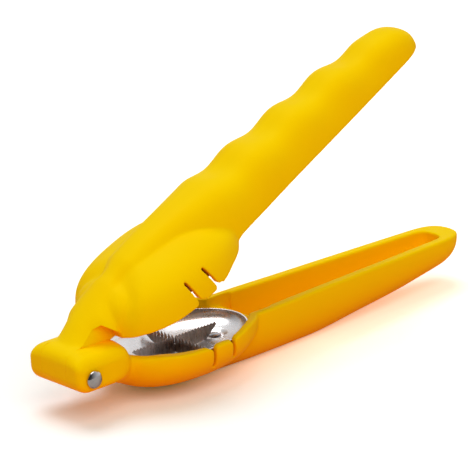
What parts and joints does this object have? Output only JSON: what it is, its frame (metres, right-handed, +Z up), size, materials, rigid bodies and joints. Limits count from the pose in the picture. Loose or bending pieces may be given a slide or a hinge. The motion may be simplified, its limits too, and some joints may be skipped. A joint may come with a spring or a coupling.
{
  "type": "chestnut cutter",
  "caption": "Yellow plastic two-lever chestnut cutter with steel cups in its jaws and crossed toothed blades in the lower cup.",
  "frame": {"origin": "centre of the flat pad under the lower lever, on which the tool rests", "axes": "+X along the lower lever from the hinge to its tip, +Z up, +Y to the far side of the hinge pin, away from its domed head"},
  "size_m": [0.1728, 0.0438, 0.0935],
  "materials": {
    "yellow_plastic": "satin gloss",
    "pressed_steel": "polished",
    "blade_steel": "ground",
    "pin_steel": "polished"
  },
  "bodies": {
    "lower_lever": {"lower_handle": "yellow_plastic", "hinge_pin": "pin_steel", "hinge_washer": "pin_steel", "lower_cup": "pressed_steel", "lower_cup_rivet": "pin_steel", "long_blade": "blade_steel", "cross_blade": "blade_steel"},
    "upper_lever": {"upper_handle": "yellow_plastic", "upper_cup": "pressed_steel", "upper_cup_rivet": "pin_steel"}
  },
  "joints": [
    {"name": "lever_hinge", "type": "hinge", "parent": "lower_lever", "child": "upper_lever", "pos_m": [-0.074, 0, 0.01555], "axis": [0, -1, 0], "range_deg": [-21.2, 37]}
  ]
}
